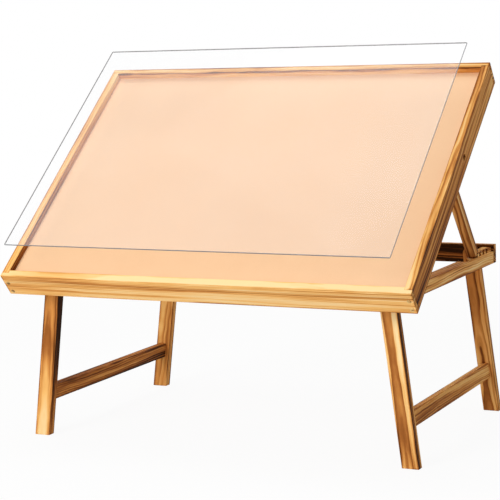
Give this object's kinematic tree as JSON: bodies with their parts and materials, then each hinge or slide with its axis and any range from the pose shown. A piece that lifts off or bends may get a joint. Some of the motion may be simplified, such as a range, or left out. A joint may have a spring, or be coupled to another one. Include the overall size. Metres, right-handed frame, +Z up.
{
  "type": "folding puzzle table",
  "caption": "Low folding wooden table with a tilting framed tray on notched props, splayed folding legs and a lift-off clear cover for jigsaw puzzles.",
  "frame": {"origin": "middle of the table's bounding box, on the floor", "axes": "+X along the table to the right, +Y from front to back, +Z up"},
  "size_m": [0.78, 0.5772, 0.6985],
  "materials": {
    "torched_pine": "torched pine, satin",
    "board": "smooth thin board",
    "zinc_steel": "zinc plated",
    "hinge_steel": "plated, satin",
    "clear_sheet": "clear acrylic"
  },
  "bodies": {
    "base": {"base_front_rail": "torched_pine", "base_back_rail": "torched_pine", "base_left_rail": "torched_pine", "base_right_rail": "torched_pine", "base_corner_screws": "zinc_steel", "left_prop_rack": "torched_pine", "right_prop_rack": "torched_pine", "leg_pivot_bolts": "zinc_steel", "leg_pivot_washers": "zinc_steel", "leg_pivot_nuts": "zinc_steel", "left_hinge_base_leaf": "hinge_steel", "right_hinge_base_leaf": "hinge_steel", "left_hinge_pin": "hinge_steel", "right_hinge_pin": "hinge_steel", "hinge_base_screws": "zinc_steel"},
    "tray": {"tray_front_rail": "torched_pine", "tray_back_rail": "torched_pine", "tray_left_rail": "torched_pine", "tray_right_rail": "torched_pine", "tray_board": "board", "tray_corner_screws": "zinc_steel", "tray_hinge_batten": "torched_pine", "hinge_tray_screws": "zinc_steel", "left_hinge_tray_leaf": "hinge_steel", "right_hinge_tray_leaf": "hinge_steel", "left_prop_block": "torched_pine", "right_prop_block": "torched_pine", "prop_bolts": "zinc_steel", "prop_washers": "zinc_steel", "prop_nuts": "zinc_steel"},
    "left_leg_frame": {"left_front_leg": "torched_pine", "left_back_leg": "torched_pine", "left_stretcher": "torched_pine"},
    "right_leg_frame": {"right_front_leg": "torched_pine", "right_back_leg": "torched_pine", "right_stretcher": "torched_pine"},
    "left_prop": {"left_prop": "torched_pine"},
    "right_prop": {"right_prop": "torched_pine"},
    "cover": {"clear_cover": "clear_sheet"}
  },
  "joints": [
    {"name": "tray_tilt", "type": "hinge", "parent": "base", "child": "tray", "pos_m": [0, -0.21843, 0.3084], "axis": [1, 0, 0], "range_deg": [0, 35]},
    {"name": "left_prop_swing", "type": "hinge", "parent": "tray", "child": "left_prop", "pos_m": [-0.3479, 0.01255, 0.5014], "axis": [1, 0, 0], "range_deg": [0, 78]},
    {"name": "right_prop_swing", "type": "hinge", "parent": "tray", "child": "right_prop", "pos_m": [0.3479, 0.01255, 0.5014], "axis": [1, 0, 0], "range_deg": [0, 78]},
    {"name": "left_leg_fold", "type": "hinge", "parent": "base", "child": "left_leg_frame", "pos_m": [-0.3211, 0, 0.2995], "axis": [0, -1, 0], "range_deg": [0, 97.4]},
    {"name": "right_leg_fold", "type": "hinge", "parent": "base", "child": "right_leg_frame", "pos_m": [0.3211, 0, 0.2995], "axis": [0, 1, 0], "range_deg": [0, 97.4]},
    {"name": "cover_lift", "type": "slide", "parent": "tray", "child": "cover", "axis": [0, -0.6361, 0.7716], "range_m": [-0.0702, 0]}
  ]
}
